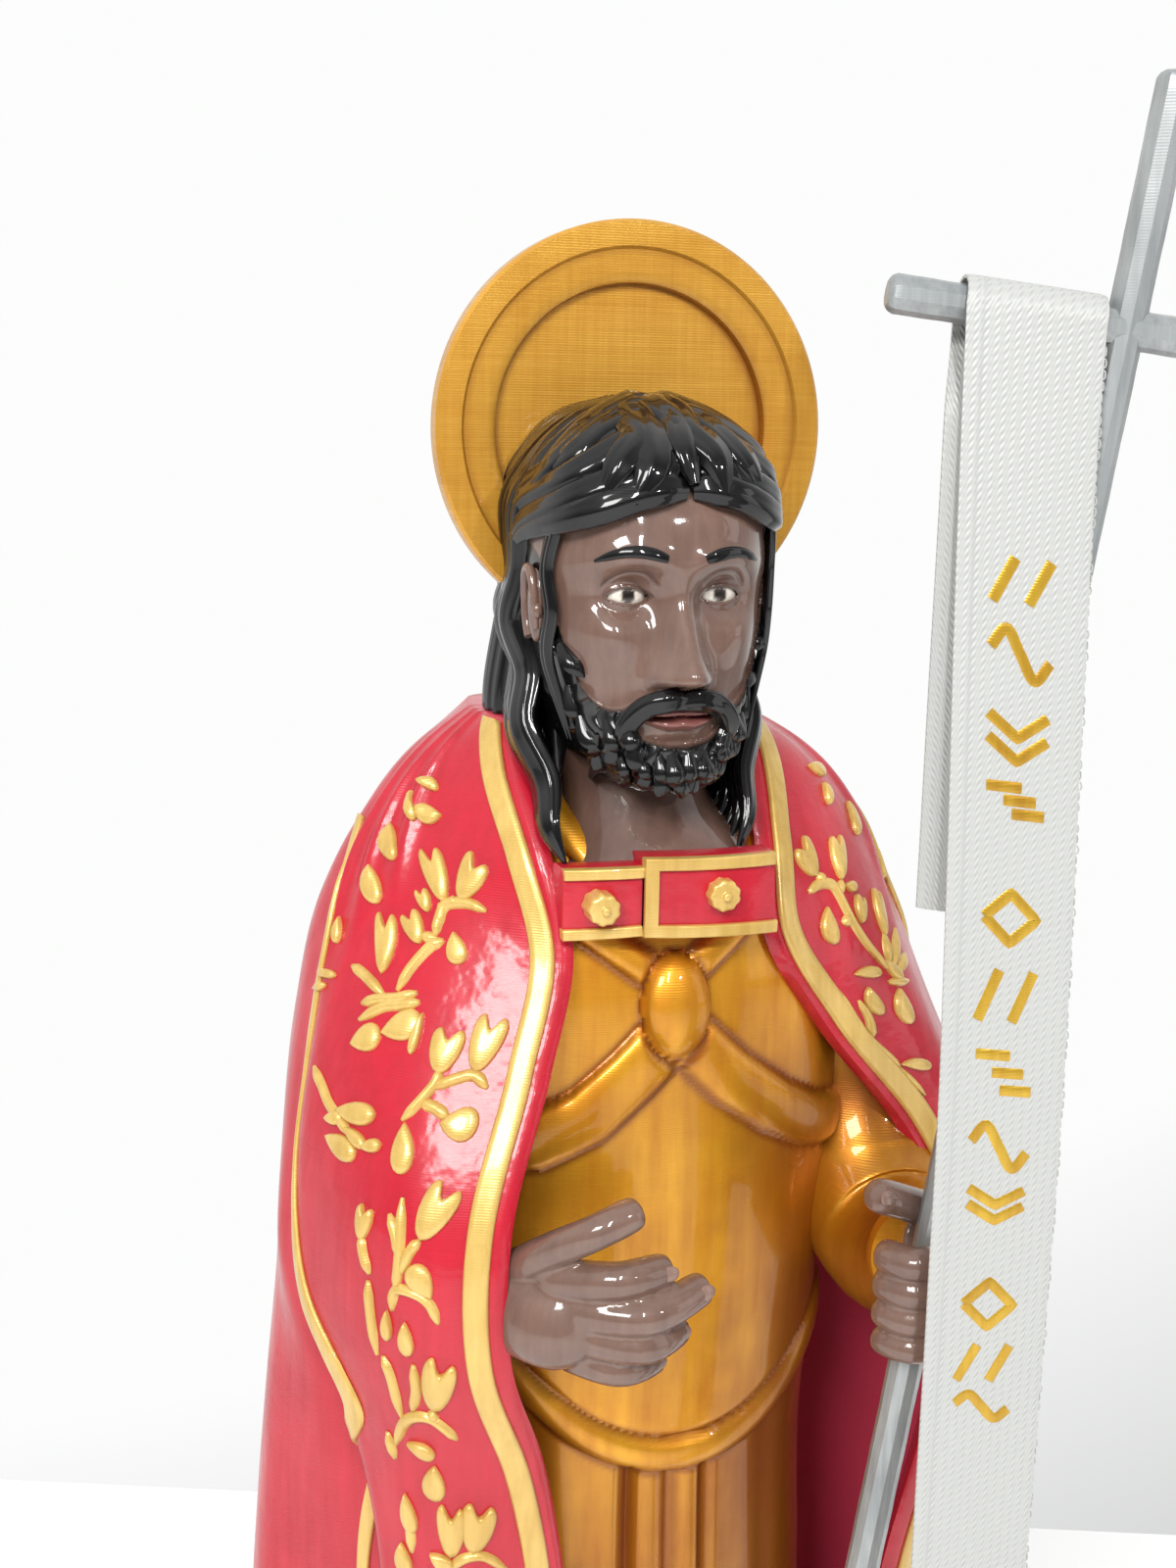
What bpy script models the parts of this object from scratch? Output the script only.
"""A painted statue of a bearded saint in a cope, with a halo, a cross staff and a ribbon.

The base stands on z = 0 and is centred on the origin.  The saint looks along -Y.
Sizes are metres.  The figure is a free form, so its pose and carving are written in
parts of its own height: it is 238 parts tall, with z = 0 at its soles.
"""

import math

import bmesh
import bpy
import numpy as np
from mathutils import Matrix, Vector

# Driving dimensions
FIGURE_HEIGHT = 0.238
FIGURE_PARTS = 238.0
BASE_HEIGHT = 0.010
BASE_RADIUS = 0.045
BASE_STEP = 0.0025
HALO_RADIUS = 0.0183
HALO_THICKNESS = 0.0020
HALO_RELIEF = 0.0006
HALO_NOTCH_WIDTH = 0.0200
HALO_NOTCH_TOP = 0.0005
STAFF_DIAMETER = 0.0030
STAFF_CHAMFER = 0.0005
STAFF_GRIP_TO_BAR = 0.0837
STAFF_ABOVE_BAR = 0.0185
STAFF_FOOT_X = -0.0010
STAFF_FOOT_Y = -0.0220
BAR_ARM = 0.0184
BAR_TURN = math.radians(-16)
RIBBON_WIDTH = 0.0108
RIBBON_THICKNESS = 0.0005
RIBBON_FRONT_DROP = 0.134
RIBBON_BACK_DROP = 0.047
RIBBON_FROM_STAFF = 0.0074
RIBBON_SWING = 0.0072
RIBBON_DRIFT = 0.0010
RIBBON_BOW = 0.0018
RIBBON_BOW_LENGTH = 0.070
RIBBON_TWIST = math.radians(13)
CLEARANCE = 0.0003
CLOTH_WALL = 2.2
VOXEL = 0.0007
KEPT_SHARE = 0.0205
STAFF_SIDES = 10

UNIT = FIGURE_HEIGHT / FIGURE_PARTS
SOLES = Vector((0.0, 0.0, BASE_HEIGHT + CLEARANCE))
GRIP = (17.6, -32.4, 160.0)
HALO_CENTRE = (0.0, -2.0, 234.5)

COLOURS = {
    "crimson lacquer": ((0.42, 0.02, 0.05), 0.25, 0.0),
    "gold paint": ((0.62, 0.36, 0.06), 0.35, 0.8),
    "silver grey paint": ((0.38, 0.40, 0.40), 0.45, 0.6),
    "white satin": ((0.85, 0.85, 0.86), 0.40, 0.0),
    "dark gold paint": ((0.30, 0.16, 0.04), 0.45, 0.6),
}

# Heights at which the ribs of the cope are given
COPE_LEVELS = (0, 40, 80, 122, 144, 156, 168, 180, 190, 198, 205, 211)

# Each rib runs from hem to neck: x and y at the levels above
COPE_RIBS = (
    ("left front edge", (-9.5, -8, -7.5, -9.5, -13.3, -17.5, -17.2, -12.8, -9.9, -11.2, -12.0, -11.4),
     (-24, -22.5, -21, -20, -21.5, -24.5, -23.5, -19.5, -16, -12.5, -6.5, -1.5)),
    ("left flap", (-18.5, -17, -16, -18, -21.5, -25, -25.5, -22.5, -19, -17.2, -15.4, -10.4),
     (-24, -22, -20.5, -19.5, -20, -20.5, -19, -14, -10, -6.5, -2.5, 0)),
    ("fold over the right forearm", (-27.5, -25.5, -24.5, -25.2, -27.5, -31, -31.3, -29, -25.5, -22.2, -17.2, -9.7),
     (-19.5, -18, -16.5, -15.5, -14, -11, -8, -6, -3, -1, 0.5, 2)),
    ("crease behind the fold", (-24.2, -22.8, -21.8, -22.6, -27.2, -31.6, -31.2, -29.6, -27.2, -23.4, -17.8, -9.5),
     (-11.5, -10.6, -10, -9.4, -7, -3, -1, 0, 2, 3, 3.5, 4)),
    ("left side", (-38, -37.2, -36.5, -35.2, -33.6, -32.4, -31.2, -29.6, -27, -23.0, -17.6, -9.3),
     (2, 2, 2, 2, 3, 5, 7, 7.5, 8, 7.5, 7, 6)),
    ("back left", (-27, -26.5, -25.5, -24.5, -23.5, -22.5, -21.5, -20.5, -18.5, -15.5, -12.5, -9.5),
     (20, 19.4, 19, 18.5, 18.5, 18.5, 18.5, 18, 17, 15.5, 13, 9.5)),
    ("back", (0, 0, 0, 0, 0, 0, 0, 0, 0, 0, 0, 0),
     (25.5, 24.5, 23.5, 22.5, 22, 22, 22, 21.5, 20.5, 18.5, 15.5, 11.5)),
    ("back right", (27, 26.5, 25.5, 24.5, 24, 23.5, 22.5, 21, 18.5, 15.5, 12.5, 9.5),
     (20, 19.4, 19, 18.5, 18.5, 18.5, 18.5, 18, 17, 15.5, 13, 9.5)),
    ("right side", (38.5, 38, 37.5, 37.5, 38, 38.5, 37, 33, 29.3, 25.6, 19.2, 8.2),
     (2, 2, 2, 2, 1, 1, 2, 3.5, 4.5, 5, 5, 5)),
    ("fold over the left forearm", (33, 32.5, 33, 35, 37, 38, 35.5, 31, 27.5, 24.1, 18.2, 8.5),
     (-14, -12.5, -11, -10.5, -11, -11, -9, -6.5, -4, -2, -0.5, 2)),
    ("right flap", (26.5, 26, 27, 30, 33.5, 35.5, 31.5, 26, 21.5, 18.6, 16.0, 9.3),
     (-19, -17.5, -16, -15.5, -16.5, -15.5, -13, -12, -10.5, -7.5, -4, 0)),
    ("right front edge", (19, 18.5, 20, 24.8, 28.3, 31, 26.5, 16.8, 10.6, 10.9, 11.6, 11.2),
     (-22, -20, -18.5, -18, -20, -18, -14, -14.5, -15.5, -12, -7, -2.5)),
)

# Half width and depth of the tunic, from hem to neck
TUNIC_LEVELS = (6, 40, 80, 120, 138, 146, 160, 176, 186, 194, 200)
TUNIC_WIDTHS = (25, 23.5, 22, 20.5, 20, 20.5, 21, 22, 21.5, 18, 12)
TUNIC_DEPTHS = (18.5, 17, 15.8, 14.8, 14.5, 15, 15.6, 15.2, 14.8, 13.2, 10)
TUNIC_MIDDLE_Y = -1.0
TUNIC_SQUARENESS = 2.4
HEM_DROP = 9.0
HEM_LOW = 140.5

HEAD = (-0.7, -7.5, 221.0)


def smooth(knots, values, at):
    """Values between knots on cubic pieces that keep the slope of the values at each knot."""
    knots = np.asarray(knots, float)
    values = np.asarray(values, float)
    at = np.asarray(at, float)
    slopes = np.gradient(values, knots, axis=0)
    piece = np.clip(np.searchsorted(knots, at, side="right") - 1, 0, len(knots) - 2)
    step = knots[piece + 1] - knots[piece]
    share = (at - knots[piece]) / step
    shape = share.shape + (1,) * (values.ndim - 1)
    step = step.reshape(shape)
    share = share.reshape(shape)
    start, end = values[piece], values[piece + 1]
    ease = share * share * (3 - 2 * share)
    lead = share * (1 - share) ** 2 * step
    trail = share * share * (share - 1) * step
    return start + (end - start) * ease + slopes[piece] * lead + slopes[piece + 1] * trail


def bump(value, middle, width):
    """A soft bell of height 1 at the middle."""
    return np.exp(-(((value - middle) / width) ** 2))


def add_rings(mesh, rings):
    """Add a closed tube through rings of points, capped flat at both ends."""
    rows = [[mesh.verts.new(point) for point in ring] for ring in rings]
    count = len(rows[0])
    for low, high in zip(rows, rows[1:]):
        for i in range(count):
            j = (i + 1) % count
            mesh.faces.new((low[i], low[j], high[j], high[i]))
    mesh.faces.new(list(reversed(rows[0])))
    mesh.faces.new(rows[-1])


def cope_surface(across, heights):
    """The outer face of the cope: across runs from edge to edge through the back, 0 to 1."""
    ribs = np.array([np.stack(rib[1:], axis=-1) for rib in COPE_RIBS], float)
    levels = smooth(COPE_LEVELS, ribs.transpose(1, 0, 2), heights)
    stations = np.linspace(0, 1, len(COPE_RIBS))
    flat = smooth(stations, levels.transpose(1, 0, 2), across).transpose(1, 0, 2)
    drop = np.clip((190 - heights) / 190, 0, 1)[:, None] ** 0.8
    behind = np.clip((0.36 - abs(across - 0.5)) / 0.12, 0, 1)[None, :]
    waves = np.sin(2 * np.pi * 10.5 * across[None, :] + 0.9 * np.sin(5 * across)[None, :])
    folds = 1.9 * drop * behind * (waves + 0.35 * np.sin(2 * np.pi * 4 * across)[None, :])
    grid = np.empty(flat.shape[:2] + (3,))
    grid[..., :2] = flat
    grid[..., 2] = heights[:, None]
    along = np.gradient(grid[..., :2], axis=1)
    length = np.linalg.norm(along, axis=-1, keepdims=True) + 1e-9
    outward = np.stack((-along[..., 1], along[..., 0]), axis=-1) / length
    grid[..., :2] += outward * folds[..., None]
    return grid, outward


def cope_rings():
    """Closed sections: the outer face, then back inside, filled where the body hides it."""
    across = np.linspace(0, 1, 90)
    heights = np.concatenate((np.linspace(-2, 195, 60), np.linspace(197, 208.6, 12)))
    outer, outward = cope_surface(across, heights)
    inner = outer.copy()
    inner[..., :2] -= outward * CLOTH_WALL
    filled = np.clip((0.27 - abs(across - 0.5)) / 0.06, 0, 1)[None, :, None]
    core = outer[..., :2] * (0.22, 0.1)
    inner[..., :2] += (core - inner[..., :2]) * filled
    return np.concatenate((outer, inner[:, ::-1]), axis=1)


def tunic_rings():
    """Sections of the tunic: its hem lip, the crossed bands, the knot and the pleats."""
    turn = np.linspace(0, 2 * np.pi, 96, endpoint=False)
    heights = np.concatenate((np.linspace(6, 136, 40), np.linspace(137, 200, 64)))
    width = smooth(TUNIC_LEVELS, TUNIC_WIDTHS, heights)[:, None]
    depth = smooth(TUNIC_LEVELS, TUNIC_DEPTHS, heights)[:, None]
    power = 2 / TUNIC_SQUARENESS
    x = width * np.sign(np.sin(turn)) * abs(np.sin(turn)) ** power
    y = -depth * np.sign(np.cos(turn)) * abs(np.cos(turn)) ** power
    z = np.broadcast_to(heights[:, None], x.shape)
    raised = tunic_relief(x, z) * np.clip(np.cos(turn) * 3, 0, 1)
    swell = 1 + raised / np.hypot(x, y)
    return np.stack((x * swell + 0.4, y * swell + TUNIC_MIDDLE_Y, z), axis=-1)


def tunic_relief(x, z):
    """How far the front of the tunic stands out, in parts, at a place on it."""
    hem = HEM_LOW + HEM_DROP * (x / 20) ** 2
    below = 1 / (1 + np.exp(-(hem - z) / 0.35))
    pleats = -0.8 - 0.9 * np.cos(2 * np.pi * x / 8.0) ** 2
    strand_low = 184 - 9.5 * (abs(x) / 12) ** 0.8
    strands = 1.1 * bump(z, strand_low, 1.6) * (abs(x) > 2)
    arms = 0.9 * bump(z, 185 + 0.9 * abs(x), 1.0) * (abs(x) < 9)
    knot = 2.2 * np.sqrt(np.clip(1 - (x / 3.0) ** 2 - ((z - 184.3) / 4.8) ** 2, 0, 1))
    return below * pleats + (1 - below) * np.maximum.reduce((strands, arms, knot))


def head_rings():
    """Sections of the head: a plain oval skull and jaw with a brow, a nose and lips."""
    turn = np.linspace(0, 2 * np.pi, 48, endpoint=False)
    rise = np.linspace(-0.995, 0.995, 44)[:, None]
    jaw = np.clip(-rise, 0, 1)
    round_off = (1 - abs(rise) ** 2.6) ** (1 / 2.2)
    width = 10.6 * round_off * (1 - 0.22 * jaw)
    depth = 13.0 * round_off * (1 - 0.12 * jaw)
    x = width * np.sin(turn)
    y = -depth * np.cos(turn)
    z = np.broadcast_to(16.3 * rise, x.shape)
    front = np.clip(np.cos(turn), 0, 1) ** 2
    nose = 3.4 * bump(x, 0, 1.3 + 0.05 * (3 - z)) * np.clip((3.5 - z) / 10, 0, 1) * (z > -7.4)
    brow = 0.8 * bump(z, 4.0, 1.4) * bump(abs(x), 4.0, 3.2)
    eyes = -1.2 * bump(z, 1.2, 1.7) * bump(abs(x), 3.9, 2.0)
    lips = 0.9 * bump(z, -10.2, 1.3) * bump(x, 0, 3.0)
    y = y - (nose + brow + eyes + lips) * front
    return np.stack((x, y, z), axis=-1) + HEAD


def hair_cap_rings():
    """The cap of hair round the skull, cut back over the face."""
    turn = np.linspace(0, 2 * np.pi, 48, endpoint=False)
    rise = np.linspace(-0.6, 0.995, 32)[:, None]
    round_off = (1 - abs(rise) ** 2.4) ** (1 / 2.1)
    face = np.clip(np.cos(turn) * 1.9 - 0.7, 0, 1) * np.clip((0.62 - rise) / 0.15, 0, 1)
    waves = 0.35 * np.sin(9 * turn + 4 * rise)
    x = (12.3 * round_off + waves) * np.sin(turn) * (1 - 0.25 * face)
    y = -(14.0 * round_off + waves) * np.cos(turn) * (1 - 0.45 * face)
    z = np.broadcast_to(17.0 * rise, x.shape)
    return np.stack((x, y, z), axis=-1) + HEAD


def strand_paths():
    """Tapering strands: each is a list of points with a radius, all in parts."""
    strands = []
    for side in (-1, 1):
        sweep = ((1.2 * side, -20.4, 234.6), (6.5 * side, -19.0, 232.0), (10.6 * side, -14.6, 227.0))
        strands.append((sweep, (1.3, 2.0, 1.4)))
        for i in range(3):
            start = ((2.5 + 3.2 * i) * side, -17.5 + 3.2 * i, 236.5 - 1.3 * i)
            middle = ((8.5 + 1.3 * i) * side, -14.5 + 3.4 * i, 231.0)
            end = ((11.6 + 0.5 * i) * side, -10.5 + 3.2 * i, 222.0)
            strands.append(((start, middle, end), (1.2, 1.8, 1.4)))
        for i in range(4):
            y = -8.5 + 3.2 * i
            fall = ((11.4 * side, y, 224.0), (11.9 * side, y - 0.5, 214.0),
                    ((11.2 + 0.4 * i) * side, y - 2.5, 206.5), ((8.4 + 0.8 * i) * side, y - 4.5, 199.0))
            strands.append((fall, (1.9, 2.3, 2.2, 0.9)))
        cheek = ((9.8 * side, -12.5, 221.0), (8.8 * side, -15.0, 213.0), (4.0 * side, -18.0, 206.5))
        strands.append((cheek, (1.0, 2.2, 2.6)))
        lip = ((0.6 * side, -21.6, 213.1), (2.7 * side, -20.6, 212.3), (4.4 * side, -18.4, 208.6))
        strands.append((lip, (0.7, 0.9, 1.2)))
    for x in (-2.6, 0.0, 2.6):
        chin = ((x, -20.2, 208.0), (x * 0.9, -20.6, 205.8), (x * 0.5, -19.2, 203.6))
        strands.append((chin, (1.4, 2.2, 1.2)))
    return [([(x + HEAD[0], y, z) for x, y, z in path], radii) for path, radii in strands]


def limb_paths():
    """The neck, the arms under the cloth, the feet and the two hands."""
    limbs = [
        (((0.0, -3.5, 192), (-0.7, -5.0, 210)), (9.5, 7.8)),
        (((-0.4, 0.8, 200), (-0.6, 0.6, 218)), (9.6, 9.4)),
        (((22, 1, 186), (27.5, -6, 159), (21.8, -24.5, 160.4)), (7, 7.5, 4.4)),
        (((-21, 1, 186), (-26.0, -5, 161), (-18, -19.0, 161.0)), (7, 6.0, 3.4)),
        (((24, -20.5, 160.4), (19.8, -29.0, 163.0)), (3.3, 3.6)),
    ]
    for i, reach in enumerate((0.0, 0.3, 0.0, -0.8)):
        z = 166.6 - 2.6 * i
        knuckle = (22.0, -31.0, z)
        round_staff = (19.5 + reach * 0.3, -35.2, z - 0.2)
        tip = (14.4 + reach * 0.3, -32.6, z - 0.6)
        limbs.append(((knuckle, round_staff, (15.8, -35.2, z - 0.4), tip), (1.5, 1.4, 1.4, 1.3)))
    limbs.append((((22, -29, 166.4), (17.5, -29.7, 169.2), (13.2, -32.0, 171.4)), (2.0, 1.8, 1.3)))
    limbs.append((((-18, -19.0, 161), (-13.6, -23.6, 161), (-10.0, -26.0, 160.3)), (3.2, 4.2, 3.6)))
    limbs.append((((-15.4, -22.0, 163.6), (-12.4, -26.2, 167.6), (-7.2, -27.8, 170.5)), (2.2, 1.9, 1.4)))
    reaches = ((-4.4, -28.0, 165.0), (-1.1, -28.2, 162.9), (-2.7, -27.4, 159.0), (-4.3, -26.2, 155.8))
    for i, tip in enumerate(reaches):
        root = (-12.2, -25.6 + 0.3 * i, 163.8 - 2.3 * i)
        bend = ((root[0] + tip[0]) / 2, -29.4 + 0.6 * i, (root[2] + tip[2]) / 2 + 0.5)
        limbs.append(((root, bend, tip), (1.9, 1.7, 1.3)))
    for x in (-9.5, 9.5):
        limbs.append((((x * 0.9, -8, 4.5), (x, -20, 2.6), (x * 1.1, -27.5, 1.4)), (5.0, 4.2, 2.6)))
    return limbs


def new_collection(name):
    """A collection linked to the scene."""
    group = bpy.data.collections.new(name)
    bpy.context.scene.collection.children.link(group)
    return group


def new_object(name, data, group):
    """An object holding the data, in a collection."""
    made = bpy.data.objects.new(name, data)
    group.objects.link(made)
    return made


def paint(piece, colour):
    """Give a piece its own plain material."""
    base, roughness, metallic = COLOURS[colour]
    material = bpy.data.materials.new(piece.name + " " + colour)
    material.use_nodes = True
    shader = material.node_tree.nodes["Principled BSDF"]
    shader.inputs["Base Color"].default_value = (*base, 1)
    shader.inputs["Roughness"].default_value = roughness
    shader.inputs["Metallic"].default_value = metallic
    material.diffuse_color = (*base, 1)
    piece.data.materials.append(material)


def as_cutter(piece):
    """Keep a cutter out of the picture."""
    piece.hide_render = True
    piece.display_type = "WIRE"
    return piece


def combine(piece, other, operation):
    """Add an exact Boolean with another object."""
    modifier = piece.modifiers.new(operation.title(), "BOOLEAN")
    modifier.operation = operation
    modifier.solver = "EXACT"
    modifier.object = other


def tube_mesh(path, radii, group):
    """A tapering round tube along a smooth path, made as a curve and turned into a mesh."""
    knots = np.arange(len(path), dtype=float)
    at = np.linspace(0, knots[-1], 4 * (len(path) - 1) + 1)
    points = smooth(knots, path, at)
    widths = smooth(knots, radii, at)
    curve = bpy.data.curves.new("strand", "CURVE")
    curve.dimensions = "3D"
    curve.bevel_depth = 1.0
    curve.bevel_resolution = 2
    curve.use_fill_caps = True
    spline = curve.splines.new("POLY")
    spline.points.add(len(points) - 1)
    for knot, point, width in zip(spline.points, points, widths):
        knot.co = (*point, 1)
        knot.radius = width
    made = new_object("strand", curve, group)
    bpy.context.view_layer.update()
    evaluated = made.evaluated_get(bpy.context.evaluated_depsgraph_get())
    mesh = bpy.data.meshes.new_from_object(evaluated)
    bpy.data.objects.remove(made)
    return mesh


def add_ball(mesh, centre, sizes):
    """Add an oval ball."""
    placing = Matrix.Translation(centre) @ Matrix.Diagonal((*sizes, 1))
    bmesh.ops.create_uvsphere(mesh, u_segments=20, v_segments=12, radius=1, matrix=placing)


def add_box(mesh, low, high):
    """Add a box between two corners."""
    low, high = Vector(low), Vector(high)
    placing = Matrix.Translation((low + high) / 2) @ Matrix.Diagonal((*(high - low), 1))
    bmesh.ops.create_cube(mesh, size=1, matrix=placing)


def turned(name, profile, steps, group):
    """A solid of revolution: a profile of (radius, height) points turned round Z."""
    mesh = bmesh.new()
    points = [mesh.verts.new((radius, 0, height)) for radius, height in profile]
    for start, end in zip(points, points[1:]):
        mesh.edges.new((start, end))
    data = bpy.data.meshes.new(name)
    mesh.to_mesh(data)
    mesh.free()
    made = new_object(name, data, group)
    screw = made.modifiers.new("Turn", "SCREW")
    screw.steps = steps
    screw.render_steps = steps
    screw.use_merge_vertices = True
    screw.merge_threshold = 0.00001
    return made


def make_base(group):
    """The low round base with a stepped edge."""
    inner = BASE_RADIUS - BASE_STEP
    profile = (
        (0, BASE_HEIGHT),
        (inner - BASE_STEP, BASE_HEIGHT),
        (inner, BASE_HEIGHT - BASE_STEP),
        (inner, 2 * BASE_STEP),
        (BASE_RADIUS, BASE_STEP + BASE_STEP / 2),
        (BASE_RADIUS, 0),
        (0, 0),
    )
    base = turned("base", profile, 48, group)
    paint(base, "dark gold paint")


def halo_frame():
    """Where the halo stands: its own Z axis lies along the way the saint looks, turned back."""
    centre = SOLES + Vector(HALO_CENTRE) * UNIT
    return Matrix.Translation(centre) @ Matrix.Rotation(math.radians(90), 4, "X")


def halo_notch(name, half_width, group):
    """The arch at the foot of the halo that the back of the head passes through."""
    reach = 2 * HALO_RADIUS
    mesh = bmesh.new()
    bmesh.ops.create_cone(mesh, cap_ends=True, segments=24, radius1=half_width, radius2=half_width,
                          depth=4 * HALO_THICKNESS)
    block = Matrix.Translation((0, -reach / 2, 0)) @ Matrix.Diagonal(
        (2 * half_width, reach, 4 * HALO_THICKNESS, 1))
    side = bmesh.new()
    bmesh.ops.create_cube(side, size=1, matrix=block)
    data = bpy.data.meshes.new(name + "_block")
    side.to_mesh(data)
    side.free()
    square = as_cutter(new_object(name + "_block", data, group))
    data = bpy.data.meshes.new(name)
    mesh.to_mesh(data)
    mesh.free()
    notch = as_cutter(new_object(name, data, group))
    combine(notch, square, "UNION")
    placing = halo_frame() @ Matrix.Translation((0, HALO_NOTCH_TOP - HALO_NOTCH_WIDTH / 2, 0))
    notch.matrix_world = placing
    square.matrix_world = placing
    return notch


def make_halo(group, cutters):
    """The stepped disc of the halo, and the cutter that lets it into the hair."""
    front = HALO_THICKNESS / 2
    rim, step, well = 0.865 * HALO_RADIUS, 0.84 * HALO_RADIUS, 0.70 * HALO_RADIUS
    profile = (
        (0, front - HALO_RELIEF),
        (well - HALO_RELIEF, front - HALO_RELIEF),
        (well, front - 0.0001),
        (step, front),
        (rim, front + HALO_RELIEF / 2),
        (HALO_RADIUS, front + HALO_RELIEF / 2),
        (HALO_RADIUS, -front),
        (0, -front),
    )
    halo = turned("halo", profile, 48, group)
    halo.matrix_world = halo_frame()
    combine(halo, halo_notch("halo_notch", HALO_NOTCH_WIDTH / 2, cutters), "DIFFERENCE")
    paint(halo, "gold paint")
    reach = front + HALO_RELIEF / 2 + CLEARANCE
    slot = as_cutter(turned("halo_slot", (
        (0, reach),
        (HALO_RADIUS + CLEARANCE, reach),
        (HALO_RADIUS + CLEARANCE, -front - CLEARANCE),
        (0, -front - CLEARANCE),
    ), 48, cutters))
    slot.matrix_world = halo_frame()
    combine(slot, halo_notch("slot_notch", HALO_NOTCH_WIDTH / 2 - CLEARANCE, cutters), "DIFFERENCE")
    return slot


def staff_line():
    """The foot of the staff, its direction, the grip, and the place of the cross bar."""
    foot = Vector((STAFF_FOOT_X, STAFF_FOOT_Y, BASE_HEIGHT))
    grip = SOLES + Vector(GRIP) * UNIT
    along = (grip - foot).normalized()
    return foot, along, grip, grip + along * STAFF_GRIP_TO_BAR


def bar_direction():
    """The way the cross bar points: square to the staff, turned a little round it."""
    along = staff_line()[1]
    level = (Vector((1, 0, 0)) - along * along.x).normalized()
    return Matrix.Rotation(BAR_TURN, 3, along) @ level


def bar(name, start, end, radius, group):
    """A faceted round bar between two points, its end edges chamfered."""
    mesh = bmesh.new()
    length = (end - start).length
    bmesh.ops.create_cone(mesh, cap_ends=True, segments=STAFF_SIDES, radius1=radius, radius2=radius,
                          depth=length)
    ends = [edge for edge in mesh.edges if abs(edge.verts[0].co.z - edge.verts[1].co.z) < length / 2]
    bmesh.ops.bevel(mesh, geom=ends, offset=STAFF_CHAMFER, segments=1, affect="EDGES")
    data = bpy.data.meshes.new(name)
    mesh.to_mesh(data)
    mesh.free()
    made = new_object(name, data, group)
    turn = (end - start).to_track_quat("Z", "Y").to_matrix().to_4x4()
    made.matrix_world = Matrix.Translation((start + end) / 2) @ turn
    return made


def make_staff(group, cutters):
    """The staff with its cross bar, and the cutter that makes its way through the fist."""
    foot, along, _, cross = staff_line()
    radius = STAFF_DIAMETER / 2
    lift = (CLEARANCE + radius * math.hypot(along.x, along.y)) / along.z
    staff = bar("cross_staff", foot + along * lift, cross + along * STAFF_ABOVE_BAR, radius, group)
    across = bar_direction()
    arm = as_cutter(bar("cross_bar", cross - across * BAR_ARM, cross + across * BAR_ARM, radius, cutters))
    combine(staff, arm, "UNION")
    paint(staff, "silver grey paint")
    return as_cutter(bar("staff_way", foot, cross, radius + CLEARANCE, cutters))


def ribbon_surface(rows):
    """The ribbon's middle face: up the back, half round the bar, and down the front."""
    _, _, _, cross = staff_line()
    across = bar_direction()
    hold = cross - across * RIBBON_FROM_STAFF
    radius = STAFF_DIAMETER / 2 + CLEARANCE + RIBBON_THICKNESS / 2
    forward = across.cross(Vector((0, 0, 1))).normalized()
    up = forward.cross(across).normalized()
    down = Vector((0, 0, -1))
    arc = math.pi * radius
    length = RIBBON_BACK_DROP + arc + RIBBON_FRONT_DROP
    grid = []
    bend = np.linspace(-0.25, 1.25, rows // 2) * arc + RIBBON_BACK_DROP
    straight = np.linspace(0, length, rows)
    for s in np.unique(np.concatenate((straight, bend)).round(6)):
        width = across.copy()
        if s < RIBBON_BACK_DROP:
            fall = RIBBON_BACK_DROP - s
            share = min(max((fall - STAFF_DIAMETER / 2) / RIBBON_SWING, 0), 1)
            share = share * share * (3 - 2 * share)
            swing = (2 * radius - RIBBON_THICKNESS - CLEARANCE) * share
            place = hold + forward * (swing - radius) - across * RIBBON_DRIFT * share + down * fall
        elif s < RIBBON_BACK_DROP + arc:
            turn = (s - RIBBON_BACK_DROP) / radius
            place = hold + (-forward * math.cos(turn) + up * math.sin(turn)) * radius
        else:
            fall = s - RIBBON_BACK_DROP - arc
            share = min(fall / RIBBON_BOW_LENGTH, 1)
            bow = RIBBON_BOW * share * share * (3 - 2 * share)
            place = hold + forward * (radius + bow) + across * bow / 2 + down * fall
            twist = RIBBON_TWIST * math.sqrt(fall / RIBBON_FRONT_DROP)
            width = Matrix.Rotation(twist, 3, "Z") @ across
        grid.append([place + width * RIBBON_WIDTH * share for share in (-0.5, 0.0, 0.5)])
    return grid


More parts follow.
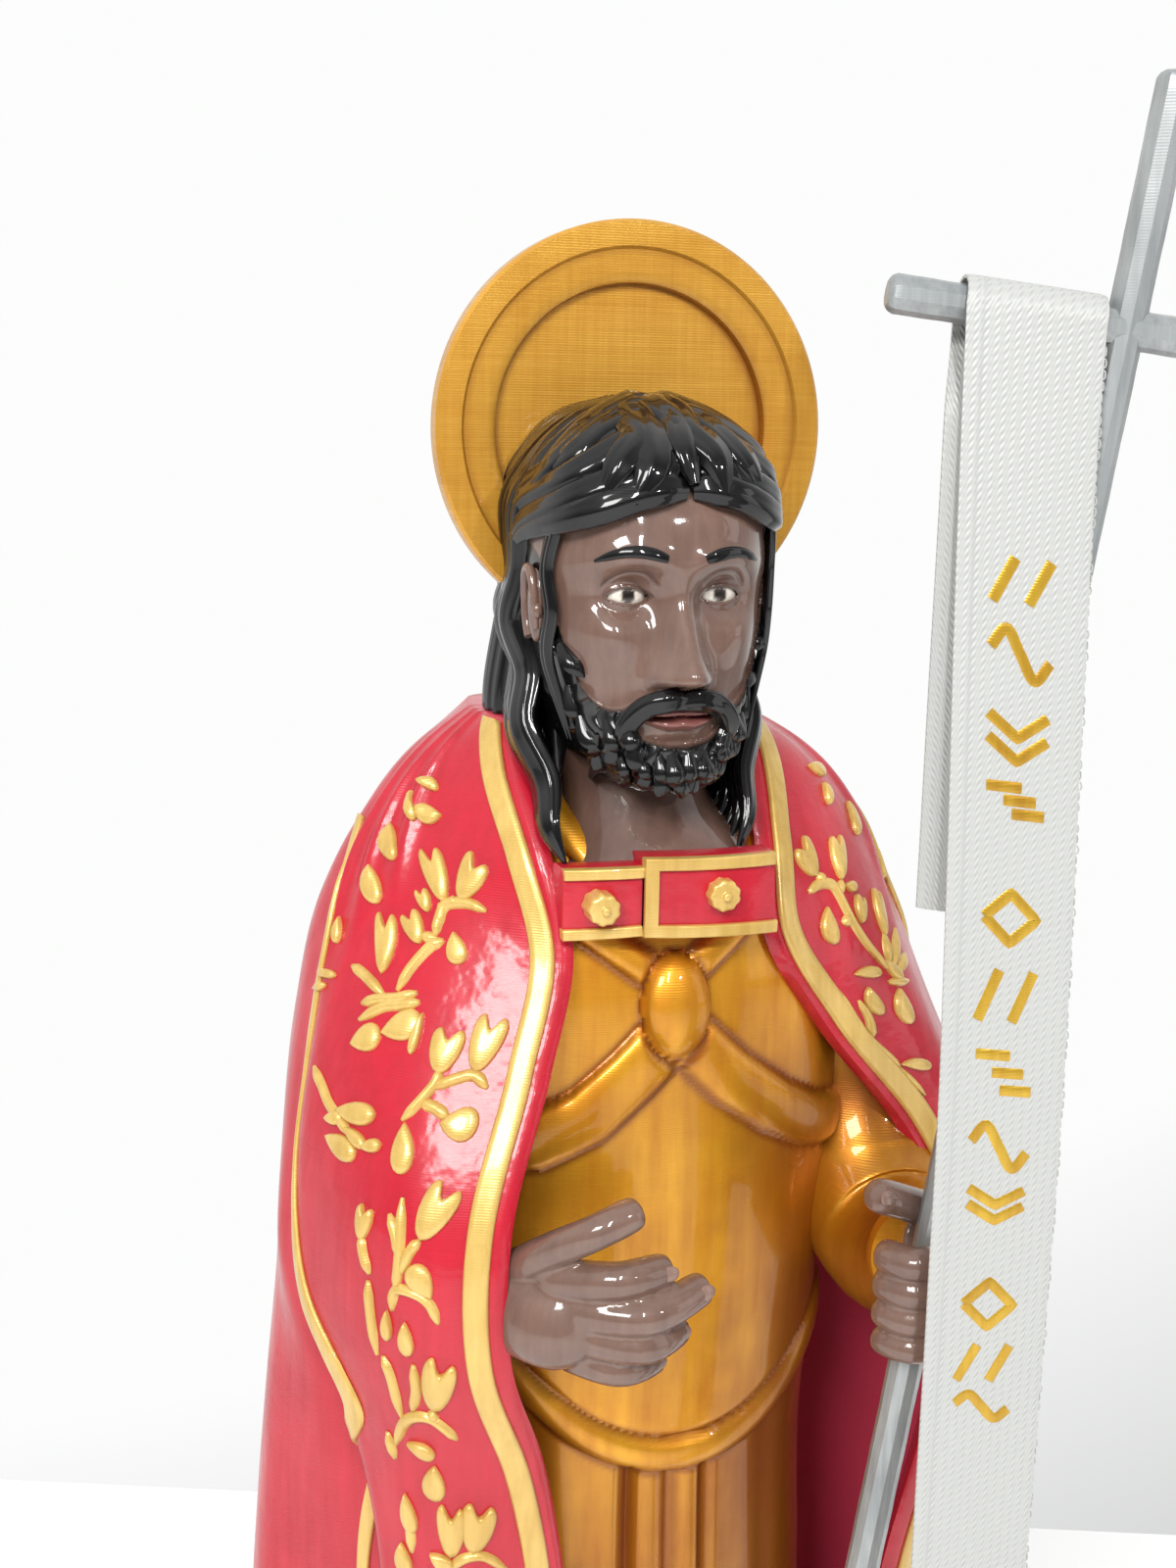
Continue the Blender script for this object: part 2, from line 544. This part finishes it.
def make_ribbon(group):
    """A strip of satin ribbon, open below on both sides of the bar."""
    mesh = bmesh.new()
    rows = [[mesh.verts.new(point) for point in row] for row in ribbon_surface(36)]
    for low, high in zip(rows, rows[1:]):
        for i in range(len(low) - 1):
            mesh.faces.new((low[i], low[i + 1], high[i + 1], high[i]))
    data = bpy.data.meshes.new("ribbon")
    mesh.to_mesh(data)
    mesh.free()
    ribbon = new_object("ribbon", data, group)
    wall = ribbon.modifiers.new("Thickness", "SOLIDIFY")
    wall.thickness = RIBBON_THICKNESS
    wall.offset = 0
    paint(ribbon, "white satin")


def make_figure(group, cutters, ways):
    """The saint: rough forms fused into one skin, thinned, then cut for what it carries."""
    mesh = bmesh.new()
    for rings in (cope_rings(), tunic_rings(), head_rings(), hair_cap_rings()):
        add_rings(mesh, rings.tolist())
    for path, radii in strand_paths() + limb_paths():
        strand = tube_mesh(path, radii, group)
        mesh.from_mesh(strand)
        bpy.data.meshes.remove(strand)
    add_box(mesh, (-10.5, -17.6, 191.2), (-1.5, -13.5, 197.4))
    add_box(mesh, (-2.0, -18.4, 191.2), (10.0, -13.5, 198.4))
    add_ball(mesh, (-6.6, -17.8, 194.4), (1.5, 1.2, 1.5))
    add_ball(mesh, (4.6, -18.6, 195.2), (1.5, 1.2, 1.5))
    for vertex in mesh.verts:
        vertex.co = SOLES + vertex.co * UNIT
    data = bpy.data.meshes.new("figure")
    mesh.to_mesh(data)
    mesh.free()
    figure = new_object("figure", data, group)
    skin = figure.modifiers.new("Fuse", "REMESH")
    skin.mode = "VOXEL"
    skin.voxel_size = VOXEL
    thin = figure.modifiers.new("Thin", "DECIMATE")
    thin.ratio = KEPT_SHARE
    floor = bmesh.new()
    reach = 2 * BASE_RADIUS
    add_box(floor, (-reach, -reach, -reach), (reach, reach, SOLES.z))
    data = bpy.data.meshes.new("floor_cut")
    floor.to_mesh(data)
    floor.free()
    ways.append(as_cutter(new_object("floor_cut", data, cutters)))
    for way in ways:
        combine(figure, way, "DIFFERENCE")
    paint(figure, "crimson lacquer")


def main():
    """Clear the scene and build the statue."""
    for old in list(bpy.data.objects):
        bpy.data.objects.remove(old)
    group = new_collection("saint statue")
    cutters = new_collection("cutters")
    make_base(group)
    slot = make_halo(group, cutters)
    way = make_staff(group, cutters)
    make_ribbon(group)
    make_figure(group, cutters, [slot, way])


main()
